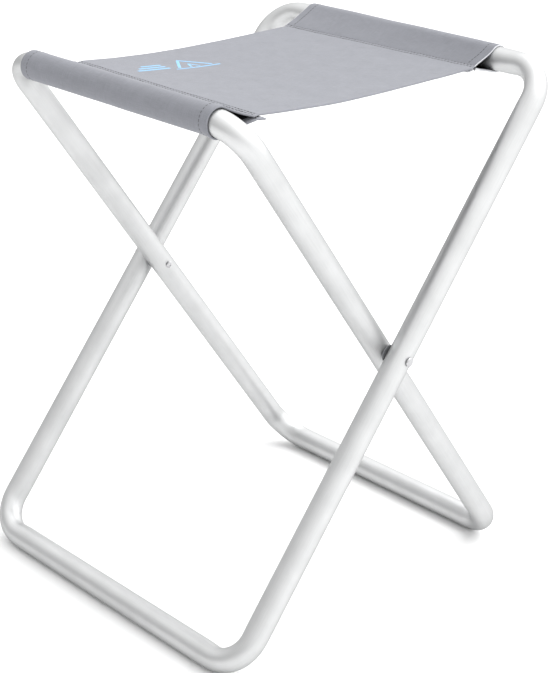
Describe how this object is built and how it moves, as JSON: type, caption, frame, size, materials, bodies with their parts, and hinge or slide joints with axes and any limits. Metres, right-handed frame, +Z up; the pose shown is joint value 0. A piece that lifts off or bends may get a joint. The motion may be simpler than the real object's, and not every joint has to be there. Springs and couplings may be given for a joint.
{
  "type": "folding camp stool",
  "caption": "Folding X-frame camp stool: two crossed loops of bent aluminium tube on riveted pivots, with a flat grey fabric seat whose ends are sewn round the top rails.",
  "frame": {"origin": "on the floor, under the centre of the open stool", "axes": "+Z up, X along the pivot axis and the rails, -Y towards the inner frame's top rail (the front)"},
  "size_m": [0.3456, 0.3636, 0.4614],
  "materials": {
    "frame_aluminium": "satin anodised, silver-white",
    "spigot_aluminium": "plain mill finish",
    "rivet_metal": "bright domed",
    "spacer_plastic": "dark grey matte",
    "seat_fabric": "plain-woven grey polyester"
  },
  "bodies": {
    "outer_frame": {"outer_frame_tube": "frame_aluminium", "outer_joint_spigot": "spigot_aluminium", "outer_joint_rivet_left": "rivet_metal", "outer_joint_rivet_right": "rivet_metal", "pivot_rivet_left": "rivet_metal", "pivot_rivet_right": "rivet_metal", "pivot_spacer_left": "spacer_plastic", "pivot_spacer_right": "spacer_plastic"},
    "inner_frame": {"inner_frame_tube": "frame_aluminium", "inner_joint_spigot": "spigot_aluminium", "inner_joint_rivet_left": "rivet_metal", "inner_joint_rivet_right": "rivet_metal"},
    "rear_seat": {"rear_sleeve": "seat_fabric", "rear_seat_panel": "seat_fabric"},
    "front_seat": {"front_sleeve": "seat_fabric", "front_seat_panel": "seat_fabric"}
  },
  "joints": [
    {"name": "frame_fold", "type": "hinge", "parent": "outer_frame", "child": "inner_frame", "pos_m": [0, 0, 0.23374], "axis": [-1, 0, 0], "range_deg": [0, 69.7]},
    {"name": "rear_seat_turn", "type": "hinge", "parent": "outer_frame", "child": "rear_seat", "pos_m": [0, 0.16558, 0.44953], "axis": [1, 0, 0], "range_deg": [0, 49.8], "deforming": ["rear_seat_panel"]},
    {"name": "front_seat_turn", "type": "hinge", "parent": "inner_frame", "child": "front_seat", "pos_m": [0, -0.16558, 0.44953], "axis": [-1, 0, 0], "range_deg": [0, 49.8], "deforming": ["front_seat_panel"]}
  ],
  "couplings": [
    {"joint": "rear_seat_turn", "follows": "frame_fold", "ratio": 0.71387},
    {"joint": "front_seat_turn", "follows": "frame_fold", "ratio": 0.71387}
  ]
}
